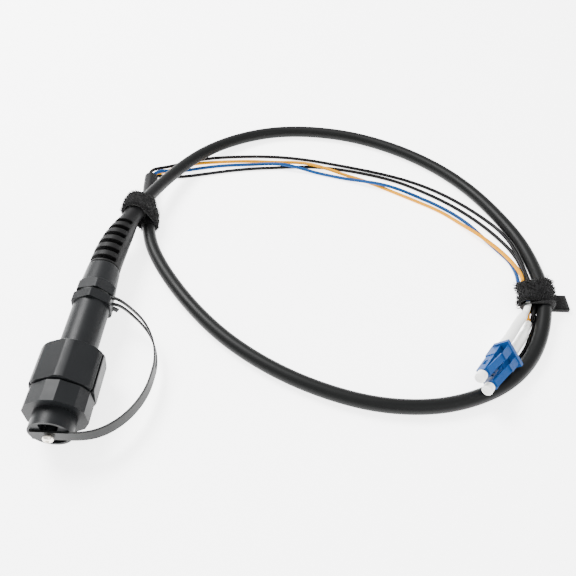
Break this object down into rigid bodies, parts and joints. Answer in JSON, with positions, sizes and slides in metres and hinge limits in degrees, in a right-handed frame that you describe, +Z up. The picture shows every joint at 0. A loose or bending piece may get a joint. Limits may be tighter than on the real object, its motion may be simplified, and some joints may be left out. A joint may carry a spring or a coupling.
{
  "type": "outdoor fibre optic cable",
  "caption": "Outdoor fibre optic patch cable in a loose loop: rugged round plug with dust cap, black jacket, breakout into thin legs, duplex connector with caps, hook-and-loop ties.",
  "frame": {"origin": "middle of the floor area under the part, at floor height", "axes": "+Z up from the floor it lies on, +Y along the round plug's axis from its dust cap to its cable boot, +X to the right"},
  "size_m": [0.2484, 0.2404, 0.029],
  "materials": {
    "black_nylon": "satin",
    "black_rubber": "matte",
    "cable_jacket": "satin",
    "black_leg": "satin",
    "yellow_leg": "satin",
    "blue_leg": "satin",
    "hook_and_loop": "fuzzy",
    "nickel_screw": "bright",
    "strap_plastic": "semi-gloss",
    "blue_plastic": "satin",
    "white_plastic": "satin",
    "ferrule_ceramic": "polished"
  },
  "bodies": {
    "cable_assembly": {"cap_lanyard": "strap_plastic", "plug_body": "black_nylon", "plug_ferrule_a": "ferrule_ceramic", "plug_ferrule_b": "ferrule_ceramic", "gland_nut": "black_nylon", "cable_boot": "black_rubber", "cable": "cable_jacket", "breakout_sleeve": "black_rubber", "leg_yellow": "yellow_leg", "leg_blue": "blue_leg", "leg_black_upper": "black_leg", "leg_black_lower": "black_leg", "tie_at_plug": "hook_and_loop", "tie_at_legs": "hook_and_loop", "lc_body_a": "blue_plastic", "lc_body_b": "blue_plastic", "lc_ferrule_a": "ferrule_ceramic", "lc_ferrule_b": "ferrule_ceramic", "duplex_clip": "blue_plastic", "lc_boot_a": "white_plastic", "lc_boot_b": "white_plastic"},
    "dust_cap_body": {"dust_cap": "black_nylon", "cap_screw": "nickel_screw"},
    "coupling_ring": {"coupling_nut": "black_nylon"},
    "lc_cap_a_body": {"lc_cap_a": "white_plastic"},
    "lc_cap_b_body": {"lc_cap_b": "white_plastic"}
  },
  "joints": [
    {"name": "coupling_nut_turn", "type": "hinge", "parent": "cable_assembly", "child": "coupling_ring", "pos_m": [-0.11, -0.0888, 0.0145], "axis": [0, 1, 0], "range_deg": [0, 90]},
    {"name": "dust_cap_pull", "type": "slide", "parent": "cable_assembly", "child": "dust_cap_body", "axis": [0, -1, 0], "range_m": [0, 0.024], "deforming": ["cap_lanyard"]},
    {"name": "lc_cap_a_pull", "type": "slide", "parent": "cable_assembly", "child": "lc_cap_a_body", "axis": [-0.5437, -0.8, 0.2538], "range_m": [0, 0.012]},
    {"name": "lc_cap_b_pull", "type": "slide", "parent": "cable_assembly", "child": "lc_cap_b_body", "axis": [-0.5437, -0.8, 0.2538], "range_m": [0, 0.012]}
  ]
}
